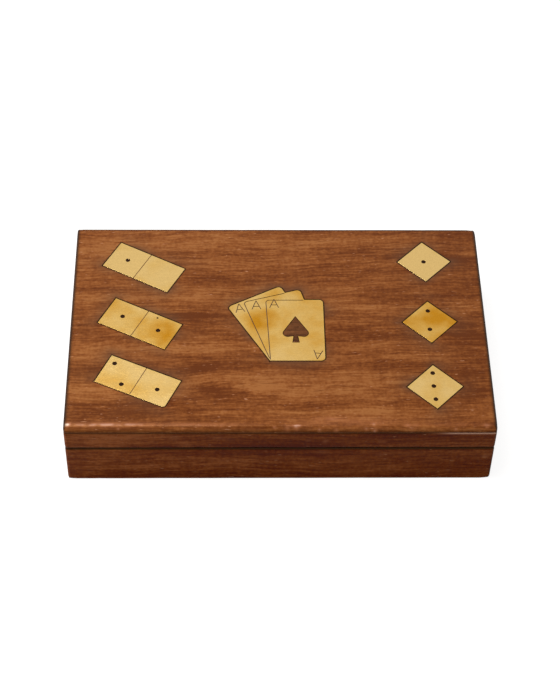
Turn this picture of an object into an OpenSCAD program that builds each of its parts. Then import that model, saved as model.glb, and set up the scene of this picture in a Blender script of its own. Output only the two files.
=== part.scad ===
// A flat wooden box for a set of dominoes, a deck of cards and dice. The lid is inlaid with brass
// dominoes, playing cards and dice, and turns on two butt hinges let into the back edges.
// Frame: origin under the middle of the box, +X to the right, +Y to the back, +Z up, millimetres.

/* [Box] */
// Width of the box
box_w = 203.5; // [195:0.5:240]
// Depth of the box, front to back
box_d = 129.5; // [126:0.5:150]
// Height of the base, up to its rim
base_h = 23.9; // [20:0.1:34]
// Thickness of the walls and lid rails
wall_t = 9; // [8.5:0.25:11]
// Radius of the upright corners
corner_r = 1.5; // [1:0.25:3]
// Radius of the edge round the underside
foot_r = 0.5; // [0.5:0.25:2]
// Radius of the eased edges at the seam and glue line
ease_r = 0.4; // [0.2:0.1:0.6]

/* [Base] */
// Thickness of the bottom panel
panel_t = 3.5; // [2.5:0.25:4.5]
// Width of the rebate that the bottom panel lies in
rebate_w = 4; // [3:0.25:5]
// Gap round the bottom panel in its rebate
panel_gap = 0.15; // [0.1:0.05:0.3]
// Thickness of the dividers
divider_t = 3.5; // [3:0.25:5]
// Height of the dividers above the bottom panel
divider_h = 16.5; // [10:0.5:17]
// Depth of the housings that hold the dividers' ends
housing_depth = 2; // [1:0.25:3]
// Clear width of each domino bay
domino_bay_w = 41.5; // [36:0.5:42]
// Clear width of the card bay
card_bay_w = 66; // [60:0.5:68]
// Radius of the finger notch in the dividers beside the cards
notch_r = 9; // [6:0.5:9.5]
// Thickness of the velvet linings
lining_t = 1; // [0.5:0.25:1.5]
// Gap round each lining
lining_gap = 0.3; // [0.1:0.1:0.6]

/* [Lid] */
// Gap between the base's rim and the closed lid
seam_gap = 0.3; // [0.1:0.1:0.4]
// Height of the lid rails
rail_h = 11.5; // [9:0.5:14]
// Thickness of the top board
board_t = 3.3; // [3:0.1:5]
// Radius of the top board's upper edge at the front, where hands have rounded it
board_front_r = 2.4; // [1:0.2:2.6]
// Radius of the top board's other upper edges
board_side_r = 1.2; // [0.8:0.2:2.6]

/* [Hinges] */
// Distance from the end of the box to the middle of a hinge
hinge_inset = 42; // [25:1:50]
// Length of a hinge
hinge_len = 25; // [20:1:30]
// Thickness of a hinge leaf
leaf_t = 0.8; // [0.7:0.1:1]
// Width of a leaf, from the pin's axis to its edge
leaf_w = 6; // [5.4:0.1:6.2]
// Radius of the knuckles
knuckle_r = 2; // [1.8:0.1:2.1]
// Radius of the hinge pin
pin_r = 0.9; // [0.7:0.05:1.1]
// Running clearance of the pin in the lid's knuckles
pin_gap = 0.05; // [0.02:0.01:0.08]
// Gap between neighbouring knuckles
knuckle_gap = 0.2; // [0.1:0.05:0.3]
// Clearance round the knuckles and leaves in the wood
mortise_gap = 0.2; // [0.1:0.05:0.3]
// Distance from the back face in to the pin's axis
pin_setback = 2.2; // [2.1:0.1:2.8]
// Slope of the bevels that stop the open lid, in degrees below level
bevel_angle = 51; // [50:0.5:55]
// Radius of a screw's shank
screw_r = 0.75; // [0.6:0.05:0.8]
// Radius of a screw's head
screw_head_r = 1.45; // [1.3:0.05:1.5]
// Length of a screw
screw_l = 6; // [4:0.5:7]
// Distance between the two screws of a leaf
screw_pitch = 15; // [12:0.5:16]

/* [Brass inlays] */
// Thickness of the brass sheet
brass_t = 1; // [0.6:0.1:1.5]
// Gap round each inlay in its pocket
inlay_gap = 0.35; // [0.1:0.05:0.5]
// Depth of the engraved lines
engraving_depth = 0.25; // [0.1:0.05:0.4]
// Width of the engraved lines
engraving_w = 0.4; // [0.2:0.05:0.5]
// Radius of the drilled pips
pip_r = 1.15; // [0.8:0.05:1.4]
// Depth of the dark filling below the brass surface
fill_depth = 0.1; // [0:0.05:0.2]
// Length of a domino
domino_l = 37.1; // [34:0.1:38]
// Width of a domino
domino_w = 17.8; // [16:0.1:18]
// Radius of the one worn corner of the front domino
worn_corner_r = 1.5; // [0.5:0.1:2.5]
// Distance from the left end of the box to the dominoes' centres
domino_margin = 34; // [32:0.5:40]
// Distance between the rows of dominoes
domino_pitch = 37; // [36:0.1:38]
// Side of a die
die_side = 18.8; // [15:0.1:19.5]
// Distance from the right end of the box to the dice's centres
die_margin = 27.8; // [26:0.1:32]
// Distance between the rows of dice
die_pitch = 40.5; // [36:0.5:41]
// Distance of each pip on the die of three from its middle
die_pip_pitch = 8; // [6:0.1:8.5]

/* [Playing cards] */
// Width of the front card at its head
card_w = 28.5; // [26:0.1:29]
// Height of the front card
card_h = 39.1; // [37:0.1:40]
// How far a card's left side leans out at its head
card_lean = 1.9; // [0.5:0.1:2.5]
// Radius of a card's corners
card_r = 2; // [1:0.1:3]
// Turn of the middle card about the fan's lower corner
middle_turn = 16.2; // [14:0.2:18]
// Turn of the back card about the fan's lower corner
back_turn = 28; // [26:0.5:31]
// Width of the spade
spade_w = 12.2; // [10:0.1:14]
// Height of the spade's leaf, from its tip to the bottom of its lobes
spade_h = 12.6; // [11:0.1:14]
// Radius of the spade's lobes
lobe_r = 2.2; // [1.8:0.1:2.6]
// Distance from the front card's head down to the spade's tip
spade_drop = 11.2; // [9:0.1:14]
// Gap round the wooden spade in the brass
spade_gap = 0.3; // [0.1:0.05:0.4]
// Height of an index letter
letter_h = 5.6; // [3:0.1:6]
// Width of an index letter
letter_w = 4.4; // [3:0.1:5]

/* [Hidden] */
$fn = 96;

FRONT = 0;
RIGHT = 1;
BACK = 2;
LEFT = 3;
cut = 1;                                            // how far a cutting shape runs past what it cuts
wood = [0.42, 0.22, 0.11];
brass = [0.83, 0.66, 0.33];
velvet = [0.36, 0.04, 0.07];

inner_w = box_w - 2 * wall_t;
inner_d = box_d - 2 * wall_t;
lid_z = base_h + seam_gap;                          // underside of the lid rails
board_z = lid_z + rail_h;                           // underside of the top board
top_z = board_z + board_t;                          // top of the box
pocket_z = top_z - brass_t;                         // floor of the inlay pockets

// The dividers' middles: two domino bays on the left, the card bay, and the dice bay on the right.
domino_divider_x = -inner_w / 2 + domino_bay_w + divider_t / 2;
card_divider_x = domino_divider_x + domino_bay_w + divider_t;
dice_divider_x = card_divider_x + card_bay_w + divider_t;
divider_xs = [domino_divider_x, card_divider_x, dice_divider_x];
divider_top = panel_t + divider_h;

hinge_x = box_w / 2 - hinge_inset;
axis_y = box_d / 2 - pin_setback;
axis_z = base_h + seam_gap / 2;
knuckles = 5;                                       // odd: the base leaf has one more than the lid leaf
knuckle_l = (hinge_len - (knuckles - 1) * knuckle_gap) / knuckles;
screw_slot_w = 0.4;
screw_slot_depth = 0.3;
screw_slot_turn = 35;                               // as the screws happened to stop
screw_head_gap = 0.05;                              // between a screw and its hole in the leaf
tip_r = 0.1;                                        // radius of a screw's point
tip_l = 1.5;                                        // length of a screw's point
// The screws' heads are just clear of the knuckles.
screw_y = axis_y - knuckle_r - mortise_gap - screw_head_r - screw_head_gap;

// The rows of inlays, from back to front: middle, tilt, and place of the engraved centre line.
domino_x = -box_w / 2 + domino_margin;
die_x = box_w / 2 - die_margin;
die_turn = 45.8;
domino_rows = [
    [domino_x + 0.7, 0.9 + domino_pitch, -28.9, -0.9],
    [domino_x - 0.1, 0.5, -27.6, -0.1],
    [domino_x, 1.2 - domino_pitch, -25.4, 0.2]
];
die_rows = [[die_x, 1.3 + die_pitch], [die_x + 0.2, 1.6], [die_x, 1.2 - die_pitch]];

// Pips of each inlay, from its middle. They were drilled by eye.
half = domino_l / 4;                                // from a domino's middle to the middle of each square
corner_pip = 5;                                     // from a square's middle to a pip in its corner
domino_pips = [
    [[-half - 0.2, 0.2]],
    [[-half - 0.5, 0.1], [half + 0.7, 0.2]],
    [[-half - corner_pip - 0.7, corner_pip], [-half + corner_pip - 1.9, -corner_pip], [half + 1.4, -0.6]]
];
die_pips = [
    [[-0.1, 0]],
    [[-0.4, 0.9 * die_pip_pitch], [-0.2, -0.6 * die_pip_pitch]],
    [[-0.6, 0.4 + die_pip_pitch], [-0.6, 0.4], [-0.2, 0.4 - die_pip_pitch]]
];
// A small pin beside a pip of the middle domino: how far from the pip and from the domino's edge
pin_mark_aside = 3.4;
pin_mark_margin = 1.8;
pin_mark_r = 0.5;
pin_mark = [half - pin_mark_aside, domino_w / 2 - pin_mark_margin];

// The fan's cards, from back to front: turn, width, height, and place and turn of the index letter,
// from the card's upper left corner to the middle of the letter's foot.
fan_corner = [-4.5, -23.1];                         // the lower corner that the three cards share
fan_cards = [
    [back_turn, card_w + 0.9, card_h + 0.8, [6.2, -3.4], 9],
    [middle_turn, card_w + 0.9, card_h + 0.7, [6.6, -4.8], 2],
    [0, card_w, card_h, [4.3, -5.2], 0]
];
foot_w = card_w - card_lean;                        // width of the front card at its foot
// The letter in the front card's lower corner, upside down: place of its foot, and its turn
low_letter_margin = 3.2;
low_letter_rise = 6.5;
low_letter = [[foot_w - low_letter_margin, low_letter_rise], 173];

spade_x = foot_w / 2 - 0.6;                         // the spade's middle, from the fan's lower corner
spade_tip_y = card_h - spade_drop;
lobe_x = spade_w / 2 - lobe_r;
lobe_y = lobe_r - spade_h;                          // below the tip
spade_slope = atan(lobe_x / -lobe_y) + asin(lobe_r / norm([lobe_x, lobe_y]));
stem_h = 3.6;
neck_w = 1.8;
stem_w = 3;
bite = 0.03;                                        // how far a side runs into the round that it meets

// Flat shapes

// What an edge of radius r loses at the corner [0, 0] of a profile.
module corner_loss(r) {
    difference() {
        translate([-cut, -cut]) square(r + cut);
        translate([r, r]) circle(r);
    }
}

// A board's cross-section: outer face at x = 0, with its lower and upper outer edges rounded.
module board_profile(t, h, low_r, top_r) {
    difference() {
        square([t, h]);
        corner_loss(low_r);
        translate([0, h]) mirror([0, 1]) corner_loss(top_r);
    }
}

module rounded_rectangle(w, d, r) {
    difference() {
        square([w, d], center = true);
        for (x = [0, 1], y = [0, 1])
            mirror([x, 0]) mirror([0, y]) translate([-w / 2, -d / 2]) corner_loss(r);
    }
}

// One card of the fan; every side moves out by grow.
module fan_card(index, grow = 0) {
    w = fan_cards[index][1];
    h = fan_cards[index][2];
    low = -grow - cut;
    high = h + grow + cut;
    translate(fan_corner) rotate(fan_cards[index][0]) intersection() {
        translate([w / 2 - card_lean, h / 2]) rounded_rectangle(w + 2 * grow, h + 2 * grow, card_r + grow);
        polygon([[-grow, low], [w, low], [w, high], [-grow - card_lean * high / h, high]]);
    }
}

module fan_outline(grow = 0) {
    for (i = [0 : len(fan_cards) - 1]) fan_card(i, grow);
}

module domino_outline(row, grow = 0) {
    difference() {
        square([domino_l + 2 * grow, domino_w + 2 * grow], center = true);
        if (row == len(domino_rows) - 1) translate([domino_l / 2 + grow, -domino_w / 2 - grow])
            mirror([1, 0]) corner_loss(worn_corner_r + grow);
    }
}

module die_outline(grow = 0) {
    rotate(die_turn) square(die_side + 2 * grow, center = true);
}

// Wooden boards

// A wall of one side, from its profile: run along that side, mitred, with round upright corners.
module mitred_wall(side) {
    long = side % 2 == 0 ? box_w : box_d;
    across = side % 2 == 0 ? box_d : box_w;
    reach = 1.5 * wall_t;                           // the mitre cuts run past the wall's inner face
    rotate([0, 0, side * 90]) intersection() {
        translate([0, -across / 2, 0]) rotate([90, 0, 90]) linear_extrude(long, center = true) children();
        linear_extrude(top_z) intersection() {
            rounded_rectangle(long, across, corner_r);
            polygon([
                [-long / 2, -across / 2], [long / 2, -across / 2],
                [long / 2 - reach, reach - across / 2], [reach - long / 2, reach - across / 2]
            ]);
        }
    }
}

// The wedge planed off a back edge, down from the pin's axis; the lid's is the same one upside down.
module stop_bevel() {
    run = pin_setback + cut;
    translate([0, axis_y, axis_z]) rotate([90, 0, 90]) linear_extrude(box_w + 2 * cut, center = true)
        polygon([[0, 0], [run, -run * tan(bevel_angle)], [run, cut], [0, cut]]);
}

module lid_side_up() {
    translate([0, 0, axis_z]) mirror([0, 0, 1]) translate([0, 0, -axis_z]) children();
}

// Room for both hinges in a back edge of the base: knuckles, leaf and the screws' pilot holes.
module hinge_mortises() {
    for (x = [-hinge_x, hinge_x]) translate([x, 0, 0]) {
        translate([0, axis_y, axis_z]) rotate([0, 90, 0])
            cylinder(h = hinge_len + 2 * mortise_gap, r = knuckle_r + mortise_gap, center = true);
        translate([-hinge_len / 2 - mortise_gap, axis_y - leaf_w - mortise_gap, base_h - leaf_t])
            cube([hinge_len + 2 * mortise_gap, leaf_w + mortise_gap, leaf_t + cut]);
        for (side = [-1, 1]) translate([side * screw_pitch / 2, screw_y, base_h - screw_l])
            screw_body(0);
    }
}

// Housings for the dividers' ends, in the inner faces of the front and back walls.
module divider_housings() {
    for (x = divider_xs) translate([x - divider_t / 2, -inner_d / 2 - housing_depth, 0])
        cube([divider_t, inner_d + 2 * housing_depth, divider_top]);
}

module base_wall(side) {
    color(wood) difference() {
        mitred_wall(side) difference() {
            board_profile(wall_t, base_h, foot_r, ease_r);
            translate([wall_t - rebate_w, -cut]) square([rebate_w + cut, panel_t + cut]);
        }
        if (side != FRONT) stop_bevel();
        if (side == BACK) hinge_mortises();
        if (side == FRONT || side == BACK) divider_housings();
    }
}

module base_bottom_panel() {
    grow = 2 * (rebate_w - panel_gap);
    color([0.62, 0.45, 0.28]) translate([0, 0, panel_t / 2])
        cube([inner_w + grow, inner_d + grow, panel_t], center = true);
}

module divider(x, notched = true) {
    color(wood) translate([x, 0, panel_t]) difference() {
        translate([-divider_t / 2, -inner_d / 2 - housing_depth, 0])
            cube([divider_t, inner_d + 2 * housing_depth, divider_h]);
        if (notched) translate([0, 0, divider_h]) rotate([0, 90, 0])
            cylinder(h = divider_t + 2 * cut, r = notch_r, center = true);
    }
}

// A lining pad on the bottom panel, from x = from to x = to.
module bay_lining(from, to) {
    color(velvet) translate([from + lining_gap, lining_gap - inner_d / 2, panel_t])
        cube([to - from - 2 * lining_gap, inner_d - 2 * lining_gap, lining_t]);
}

module lid_rail(side) {
    color(wood) difference() {
        translate([0, 0, lid_z]) mitred_wall(side) board_profile(wall_t, rail_h, ease_r, ease_r);
        lid_side_up() {
            if (side != FRONT) stop_bevel();
            if (side == BACK) hinge_mortises();
        }
    }
}

module lid_top_board() {
    color(wood) difference() {
        intersection() {
            translate([0, 0, board_z]) linear_extrude(board_t) rounded_rectangle(box_w, box_d, corner_r);
            board_section(box_d, box_w, [board_front_r, board_side_r]);
            rotate([0, 0, 90]) board_section(box_w, box_d, [board_side_r, board_side_r]);
        }
        translate([0, 0, pocket_z]) {
            linear_extrude(brass_t + cut) fan_outline(inlay_gap);
            for (i = [0 : len(domino_rows) - 1])
                at_domino(i) linear_extrude(brass_t + cut) domino_outline(i, inlay_gap);
            for (i = [0 : len(die_rows) - 1])
                at_die(i) linear_extrude(brass_t + cut) die_outline(inlay_gap);
        }
    }
}

// The top board's cross-section, run along X over the length long; radii are of its upper edges.
module board_section(across, long, radii) {
    translate([0, 0, board_z]) rotate([90, 0, 90]) linear_extrude(long, center = true)
        for (x = [0, 1]) mirror([x, 0]) translate([-across / 2, 0])
            board_profile(across / 2, board_t, ease_r, radii[x]);
}

module lid_lining() {
    color(velvet) translate([0, 0, board_z - lining_t / 2])
        cube([inner_w - 2 * lining_gap, inner_d - 2 * lining_gap, lining_t], center = true);
}

// Hinges

// Knuckles of a leaf along the pin's axis: the base leaf has numbers 0, 2, 4 and the lid leaf 1, 3.
module knuckle_row(first, r, gap) {
    for (i = [first : 2 : knuckles - 1])
        translate([i * (knuckle_l + knuckle_gap) - hinge_len / 2 - gap, 0, 0]) rotate([0, 90, 0])
            cylinder(h = knuckle_l + 2 * gap, r = r);
}

// A leaf as it lies on the base's rim; the lid's leaf is the same plate upside down.
module leaf(first, bore_r) {
    color(brass) difference() {
        union() {
            translate([-hinge_len / 2, axis_y - leaf_w, base_h - leaf_t]) cube([hinge_len, leaf_w, leaf_t]);
            translate([0, axis_y, axis_z]) knuckle_row(first, knuckle_r, 0);
        }
        translate([0, axis_y, axis_z]) {
            knuckle_row(1 - first, knuckle_r + mortise_gap, knuckle_gap);
            rotate([0, 90, 0]) cylinder(h = hinge_len + 2 * cut, r = bore_r, center = true);
        }
        for (side = [-1, 1]) translate([side * screw_pitch / 2, screw_y, base_h - screw_l])
            screw_body(screw_head_gap);
    }
}

// A countersunk screw, point down, its head level with z = screw_l; gap widens it into its hole.
module screw_body(gap) {
    head_h = screw_head_r - screw_r;
    cylinder(h = tip_l, r1 = tip_r, r2 = screw_r + gap);
    translate([0, 0, tip_l]) cylinder(h = screw_l - tip_l, r = screw_r + gap);
    translate([0, 0, screw_l - head_h]) cylinder(h = head_h, r1 = screw_r + gap, r2 = screw_head_r + gap);
}

module leaf_screws() {
    color(brass) for (side = [-1, 1]) translate([side * screw_pitch / 2, screw_y, base_h - screw_l])
        difference() {
            screw_body(0);
            translate([0, 0, screw_l]) rotate([0, 0, side * screw_slot_turn])
                cube([2 * screw_head_r + cut, screw_slot_w, 2 * screw_slot_depth], center = true);
        }
}

module hinge_pin() {
    color(brass) translate([0, axis_y, axis_z]) rotate([0, 90, 0])
        cylinder(h = hinge_len, r = pin_r, center = true);
}

module at_hinge(side) {
    translate([side * hinge_x, 0, 0]) children();
}

// Inlays

// An engraved line from a to b, cut down from the top of the box.
module engraved_line(a, b) {
    along = b - a;
    translate([a[0], a[1], top_z - engraving_depth]) rotate([0, 0, atan2(along[1], along[0])])
        translate([0, -engraving_w / 2, 0]) cube([norm(along), engraving_w, engraving_depth + cut]);
}

module at_domino(row) {
    translate([domino_rows[row][0], domino_rows[row][1], 0]) rotate([0, 0, domino_rows[row][2]]) children();
}

module at_die(row) {
    translate([die_rows[row][0], die_rows[row][1], 0]) children();
}

module pip_holes(places, r) {
    for (p = places) translate([p[0], p[1], pocket_z - cut]) cylinder(h = brass_t + 2 * cut, r = r);
}

module pip_fillings(places, r) {
    for (p = places) translate([p[0], p[1], pocket_z]) cylinder(h = brass_t - fill_depth, r = r);
}

module domino_inlay(row) {
    line_x = domino_rows[row][3];
    color(brass) at_domino(row) difference() {
        translate([0, 0, pocket_z]) linear_extrude(brass_t) domino_outline(row);
        pip_holes(domino_pips[row], pip_r);
        if (row == 1) pip_holes([pin_mark], pin_mark_r);
        engraved_line([line_x, -domino_w / 2 - cut], [line_x, domino_w / 2 + cut]);
    }
}

module domino_pip_fillings() {
    color([0.16, 0.08, 0.04]) for (row = [0 : len(domino_rows) - 1]) at_domino(row) {
        pip_fillings(domino_pips[row], pip_r);
        if (row == 1) pip_fillings([pin_mark], pin_mark_r);
    }
}

module die_inlay(row) {
    color(brass) at_die(row) difference() {
        translate([0, 0, pocket_z]) linear_extrude(brass_t) die_outline();
        pip_holes(die_pips[row], pip_r);
    }
}

module die_pip_fillings() {
    color([0.16, 0.08, 0.04]) for (row = [0 : len(die_rows) - 1]) at_die(row)
        pip_fillings(die_pips[row], pip_r);
}

// The rim of one card where it crosses the cards behind it, as a line to engrave.
module card_edge_line(index) {
    translate([0, 0, top_z - engraving_depth]) linear_extrude(engraving_depth + cut) intersection() {
        difference() {
            fan_card(index);
            fan_card(index, -engraving_w);
        }
        for (i = [0 : index - 1]) fan_card(i, -engraving_w);
    }
}

// The letter A, its foot's middle at [0, 0].
module index_letter() {
    left_foot = [-letter_w / 2, 0];
    right_foot = [letter_w / 2, 0];
    apex = [0, letter_h];
    engraved_line(left_foot, apex);
    engraved_line(right_foot, apex);
    engraved_line((2 * left_foot + apex) / 3, (2 * right_foot + apex) / 3);
}

module index_letters() {
    for (card = fan_cards)
        translate([fan_corner[0], fan_corner[1], 0]) rotate([0, 0, card[0]])
            translate([-card_lean, card[2], 0]) rotate([0, 0, -card[0]])
                translate([card[3][0], card[3][1], 0]) rotate([0, 0, card[4]]) index_letter();
    translate([fan_corner[0] + low_letter[0][0], fan_corner[1] + low_letter[0][1], 0])
        rotate([0, 0, low_letter[1]]) index_letter();
}

module card_fan_inlay() {
    color(brass) difference() {
        translate([0, 0, pocket_z]) linear_extrude(brass_t) fan_outline();
        translate([0, 0, pocket_z - cut]) spade(brass_t + 2 * cut, spade_gap);
        difference() {
            card_edge_line(1);
            translate([0, 0, pocket_z]) linear_extrude(brass_t + 2 * cut) fan_card(2);
        }
        card_edge_line(2);
        index_letters();
    }
}

// A spade of height h, on z = 0, in its place on the lid; every side moves out by grow.
module spade(h, grow = 0) {
    r = lobe_r + grow;
    touch = [lobe_x + (r - bite) * cos(spade_slope), lobe_y + (r - bite) * sin(spade_slope)];
    low = lobe_y - r;
    dip = [lobe_x - r / 4, low + r / 32 + bite];
    foot = -spade_h - stem_h - grow;
    translate([fan_corner[0] + spade_x, fan_corner[1] + spade_tip_y, 0]) union() {
        linear_extrude(h) polygon([
            [0, grow / sin(spade_slope)], touch, [lobe_x, lobe_y], dip, [0, low + r / 4],
            [-dip[0], dip[1]], [-lobe_x, lobe_y], [-touch[0], touch[1]]
        ]);
        for (x = [-lobe_x, lobe_x]) translate([x, lobe_y, 0]) cylinder(h = h, r = r);
        linear_extrude(h) polygon([
            [-neck_w / 2 - grow, lobe_y], [-neck_w / 2 - grow, low + grow], [-stem_w / 2 - grow, foot],
            [stem_w / 2 + grow, foot], [neck_w / 2 + grow, low + grow], [neck_w / 2 + grow, lobe_y]
        ]);
    }
}

module spade_insert() {
    color(wood) translate([0, 0, pocket_z]) spade(brass_t);
}

base_wall(FRONT);  // base_front_wall
base_wall(RIGHT);  // base_right_wall
base_wall(BACK);  // base_back_wall
base_wall(LEFT);  // base_left_wall
base_bottom_panel();
divider(domino_divider_x, notched = false);  // domino_divider
divider(card_divider_x);  // card_divider
divider(dice_divider_x);  // dice_divider
bay_lining(-inner_w / 2, domino_divider_x - divider_t / 2);  // left_domino_bay_lining
bay_lining(domino_divider_x + divider_t / 2, card_divider_x - divider_t / 2);  // right_domino_bay_lining
bay_lining(card_divider_x + divider_t / 2, dice_divider_x - divider_t / 2);  // card_bay_lining
bay_lining(dice_divider_x + divider_t / 2, inner_w / 2);  // dice_bay_lining
at_hinge(-1) leaf(0, pin_r);  // left_hinge_base_leaf
at_hinge(-1) hinge_pin();  // left_hinge_pin
at_hinge(-1) leaf_screws();  // left_hinge_base_screws
at_hinge(1) leaf(0, pin_r);  // right_hinge_base_leaf
at_hinge(1) hinge_pin();  // right_hinge_pin
at_hinge(1) leaf_screws();  // right_hinge_base_screws
lid_rail(FRONT);  // lid_front_rail
lid_rail(RIGHT);  // lid_right_rail
lid_rail(BACK);  // lid_back_rail
lid_rail(LEFT);  // lid_left_rail
lid_top_board();
lid_lining();
lid_side_up() at_hinge(-1) leaf(1, pin_r + pin_gap);  // left_hinge_lid_leaf
lid_side_up() at_hinge(-1) leaf_screws();  // left_hinge_lid_screws
lid_side_up() at_hinge(1) leaf(1, pin_r + pin_gap);  // right_hinge_lid_leaf
lid_side_up() at_hinge(1) leaf_screws();  // right_hinge_lid_screws
domino_inlay(0);  // back_domino_inlay
domino_inlay(1);  // middle_domino_inlay
domino_inlay(2);  // front_domino_inlay
domino_pip_fillings();
die_inlay(0);  // one_die_inlay
die_inlay(1);  // two_die_inlay
die_inlay(2);  // three_die_inlay
die_pip_fillings();
card_fan_inlay();
spade_insert();
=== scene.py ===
# %% [markdown]
# # A wooden game box inlaid with brass
# The real object is a flat box of Indian rosewood, about 200 mm wide, French-polished and worn.
# Its lid is inlaid with brass sheet: dominoes, a fan of cards and dice.
# The size and place of each piece come from the CAD frame. This file gives the surfaces what the
# CAD solids don't have: worn edges, grain, tarnish, velvet, and light. Marks of wear and patches of
# colour are placed one by one. Lengths are in metres, and what is in millimetres goes through MM.
# Where noise has one size, it is given as features per metre, as Blender wants it.

# %% The frame
import math

import bmesh
import bpy
from mathutils import Matrix, Vector, kdtree, noise


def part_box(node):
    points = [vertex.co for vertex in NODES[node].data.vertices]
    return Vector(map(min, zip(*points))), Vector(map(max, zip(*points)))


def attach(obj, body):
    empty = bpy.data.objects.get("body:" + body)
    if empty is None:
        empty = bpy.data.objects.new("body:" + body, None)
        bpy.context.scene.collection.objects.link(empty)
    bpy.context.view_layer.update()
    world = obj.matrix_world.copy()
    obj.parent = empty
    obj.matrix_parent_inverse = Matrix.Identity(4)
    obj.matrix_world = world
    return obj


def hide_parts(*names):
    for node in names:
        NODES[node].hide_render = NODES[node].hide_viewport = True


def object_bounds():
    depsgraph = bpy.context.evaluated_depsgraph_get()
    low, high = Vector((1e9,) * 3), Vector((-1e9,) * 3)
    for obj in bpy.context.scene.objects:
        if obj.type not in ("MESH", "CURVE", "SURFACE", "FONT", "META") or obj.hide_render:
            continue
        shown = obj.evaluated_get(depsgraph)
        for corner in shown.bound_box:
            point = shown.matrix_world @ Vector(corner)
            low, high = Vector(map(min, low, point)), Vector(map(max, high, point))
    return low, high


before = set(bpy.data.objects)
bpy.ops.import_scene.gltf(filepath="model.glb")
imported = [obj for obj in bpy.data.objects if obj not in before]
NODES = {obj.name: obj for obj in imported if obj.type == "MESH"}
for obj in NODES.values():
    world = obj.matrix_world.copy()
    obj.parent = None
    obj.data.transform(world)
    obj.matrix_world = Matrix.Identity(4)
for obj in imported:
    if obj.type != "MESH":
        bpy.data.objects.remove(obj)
CAD_LOW, CAD_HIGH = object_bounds()
MM = 0.001
print("CAD box, mm:", [round((high - low) / MM, 1) for low, high in zip(CAD_LOW, CAD_HIGH)])

# %% [markdown]
# ## Camera
# The photograph looks down at the box by 50 degrees from some distance, a little from the left of
# square on, with the camera rolled slightly. A focal length and a pose were fitted to the box's
# outline and its inlays. A camera looks along its own -Z, so its axes are built as three rows:
# right, down and forward, which is how a picture is laid out, and then turned into Blender's
# right, up and back.

# %% Camera at the photograph's viewing angle
PHOTO_HEIGHT = 700
FOCAL_PIXELS = 1830.5
LOOK_DOWN = math.radians(49.863)
TURN = math.radians(2.35)
ROLL = math.radians(1.797)
SENSOR = 36.0
TOP_Z = CAD_HIGH[2]
# Where the middle of the lid lies from the camera: right, down and forward.
LID_FROM_CAMERA = Vector((-0.995, -12.564, 895.945)) * MM


def photo_camera():
    tilt = Matrix((
        (1, 0, 0),
        (0, -math.sin(LOOK_DOWN), -math.cos(LOOK_DOWN)),
        (0, math.cos(LOOK_DOWN), -math.sin(LOOK_DOWN)),
    ))
    rolled = Matrix.Rotation(ROLL, 3, "Z")
    rows = rolled @ tilt @ Matrix.Rotation(TURN, 3, "Z")
    place = Vector((0, 0, TOP_Z)) - rows.transposed() @ (rolled @ LID_FROM_CAMERA)
    axes = Matrix((rows[0], -rows[1], -rows[2])).transposed()
    data = bpy.data.cameras.new("photo_camera")
    data.sensor_width = SENSOR
    data.lens = FOCAL_PIXELS * SENSOR / PHOTO_HEIGHT
    data.clip_end = 20
    camera = bpy.data.objects.new("photo_camera", data)
    camera.matrix_world = Matrix.Translation(place) @ axes.to_4x4()
    bpy.context.scene.collection.objects.link(camera)
    bpy.context.scene.camera = camera
    return camera


camera = photo_camera()
print("camera at, mm:", [round(c / MM) for c in camera.location], "lens", round(camera.data.lens, 1))

# %% [markdown]
# ## Helpers for materials
# Colours are noted as sRGB hex, the way a picture editor shows them, and Blender wants them
# linear, so one function turns them. Another adds a shader node with its settings and its links,
# which keeps a material readable: each line of it is one node.


# %% Colours and shader nodes
def linear(hex_colour):
    """An sRGB colour such as 8A502B as linear RGBA."""
    channels = [int(hex_colour[i : i + 2], 16) / 255 for i in (0, 2, 4)]
    return [c / 12.92 if c <= 0.04045 else ((c + 0.055) / 1.055) ** 2.4 for c in channels] + [1.0]


def new_material(name):
    material = bpy.data.materials.new(name)
    material.use_nodes = True
    material.node_tree.nodes.clear()
    return material, material.node_tree


def add(tree, kind, inputs=None, stops=None, **settings):
    """A node of that kind. An input is a value, or another node's output to link."""
    made = tree.nodes.new("ShaderNode" + kind)
    for name, value in settings.items():
        setattr(made, name, value)
    if stops:
        ramp = made.color_ramp
        while len(ramp.elements) < len(stops):
            ramp.elements.new(0.5)
        for element, (place, colour) in zip(ramp.elements, stops):
            element.position = place
            element.color = linear(colour) if isinstance(colour, str) else (colour, colour, colour, 1)
    for key, value in (inputs or {}).items():
        if isinstance(value, bpy.types.NodeSocket):
            tree.links.new(value, made.inputs[key])
        else:
            made.inputs[key].default_value = value
    return made


print("wood mid tone, linear:", [round(c, 3) for c in linear("8A502B")])

# %% [markdown]
# ## Stage and light
# The object stands on a white studio table in soft light. The table is a pale grey card with a glow
# that only the camera sees, so it shows white and still keeps the box's faint shadow. The room is
# white to the camera and in reflections, so that brass has something pale to mirror, and dimmer
# where it only lights the box. The main softbox hangs above and to the left, a little behind the
# box: its reflection, together with a highlight painted into the wood, makes the bright line along
# the left half of the front edge of the lid.

# %% Table, world and softboxes
TABLE_SIZE = 6.0
TABLE_GLOW = 0.88
# The room lights the box evenly at this level, and more from the side that LIT_SIDE points to.
ROOM_LEVEL = 0.22
LIT_SIDE = (-0.30, -0.05, 0.35)
# The table hides this part of the room from everything but the underside.
LIT_BELOW = (0, 0, -0.6)
# The point that the lamps are turned to.
AIM = Vector((0, 0, 0.03))


def seen_directly(tree, *others):
    """1 for rays from the camera and of the other kinds named, and 0 for the rest."""
    path = add(tree, "LightPath")
    seen = path.outputs["Is Camera Ray"]
    for other in others:
        seen = add(tree, "Math", {0: seen, 1: path.outputs[other]}, operation="MAXIMUM").outputs[0]
    return seen


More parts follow.
